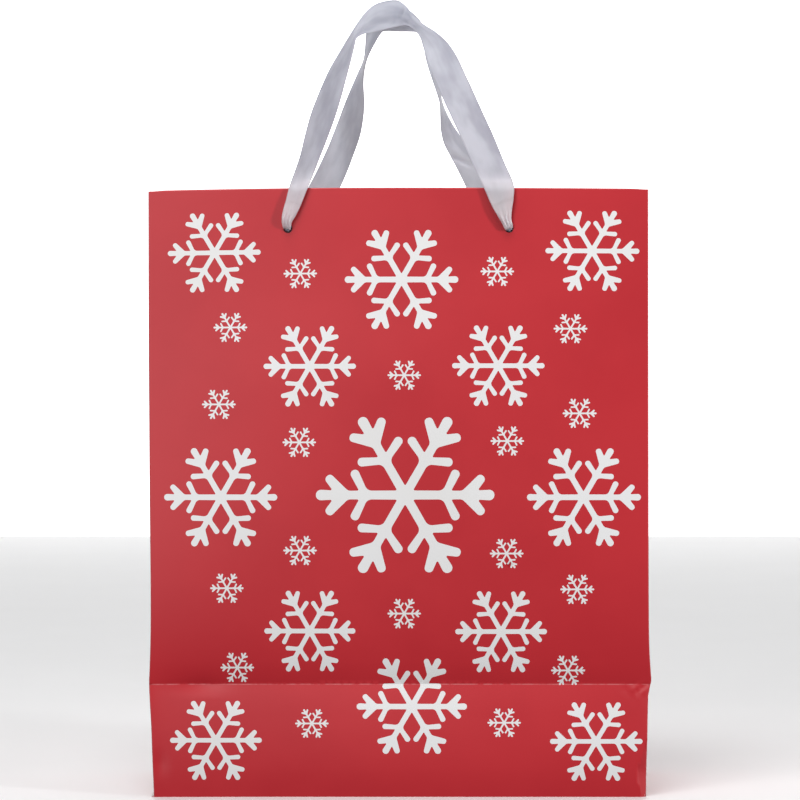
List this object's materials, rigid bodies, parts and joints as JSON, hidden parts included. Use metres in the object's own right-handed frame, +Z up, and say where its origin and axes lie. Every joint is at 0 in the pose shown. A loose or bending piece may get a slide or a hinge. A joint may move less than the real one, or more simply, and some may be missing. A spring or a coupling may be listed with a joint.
{
  "type": "gift bag",
  "caption": "Upright gusseted paper gift bag with a snowflake print, a turned-over mouth, a loose base board and two satin ribbon handles.",
  "frame": {"origin": "centre of the base, on the surface that the bag stands on", "axes": "+Z up through the mouth, -Y out of the front panel, +X to the right as the front is seen"},
  "size_m": [0.26, 0.1248, 0.4256],
  "materials": {
    "red_paper": "semi-matte film-laminated coated paper, printed red with off-white snowflakes; white uncoated inner side",
    "inner_paper": "plain uncoated white inner side of the same paper",
    "card": "plain grey-white card with a cut edge",
    "ribbon": "silver satin ribbon with a soft sheen and a fine woven edge"
  },
  "bodies": {
    "bag": {"front_panel": "red_paper", "front_foot_panel": "red_paper", "back_panel": "red_paper", "left_gusset_front": "red_paper", "left_gusset_rear": "red_paper", "right_gusset_front": "red_paper", "right_gusset_rear": "red_paper", "left_foot_panel": "red_paper", "right_foot_panel": "red_paper", "bottom_front_flap": "red_paper", "bottom_back_flap": "red_paper", "bottom_left_flap": "red_paper", "bottom_right_flap": "red_paper", "front_hem": "red_paper", "back_hem": "red_paper", "left_hem": "red_paper", "right_hem": "red_paper", "side_glue_flap": "inner_paper", "front_reinforcement": "card", "back_reinforcement": "card", "front_left_knot": "ribbon", "front_right_knot": "ribbon", "back_left_knot": "ribbon", "back_right_knot": "ribbon"},
    "base_board": {"base_board": "card"},
    "front_handle_legs": {"front_handle_legs": "ribbon"},
    "front_handle_loop": {"front_handle_loop": "ribbon"},
    "back_handle_legs": {"back_handle_legs": "ribbon"},
    "back_handle_loop": {"back_handle_loop": "ribbon"}
  },
  "joints": [
    {"name": "base_board_lift", "type": "slide", "parent": "bag", "child": "base_board", "axis": [0, 0, 1], "range_m": [0, 0.27]},
    {"name": "front_handle_swing", "type": "hinge", "parent": "bag", "child": "front_handle_legs", "pos_m": [0, -0.0622, 0.298], "axis": [1, 0, 0], "range_deg": [0, 180]},
    {"name": "front_loop_bend", "type": "hinge", "parent": "front_handle_legs", "child": "front_handle_loop", "pos_m": [0, -0.0622, 0.3205], "axis": [1, 0, 0], "range_deg": [0, 29]},
    {"name": "back_handle_swing", "type": "hinge", "parent": "bag", "child": "back_handle_legs", "pos_m": [0, 0.0622, 0.298], "axis": [-1, 0, 0], "range_deg": [0, 180]},
    {"name": "back_loop_bend", "type": "hinge", "parent": "back_handle_legs", "child": "back_handle_loop", "pos_m": [0, 0.0622, 0.3205], "axis": [-1, 0, 0], "range_deg": [0, 29]}
  ],
  "couplings": [
    {"joint": "front_loop_bend", "follows": "front_handle_swing", "ratio": 0.1611},
    {"joint": "back_loop_bend", "follows": "back_handle_swing", "ratio": 0.1611}
  ]
}
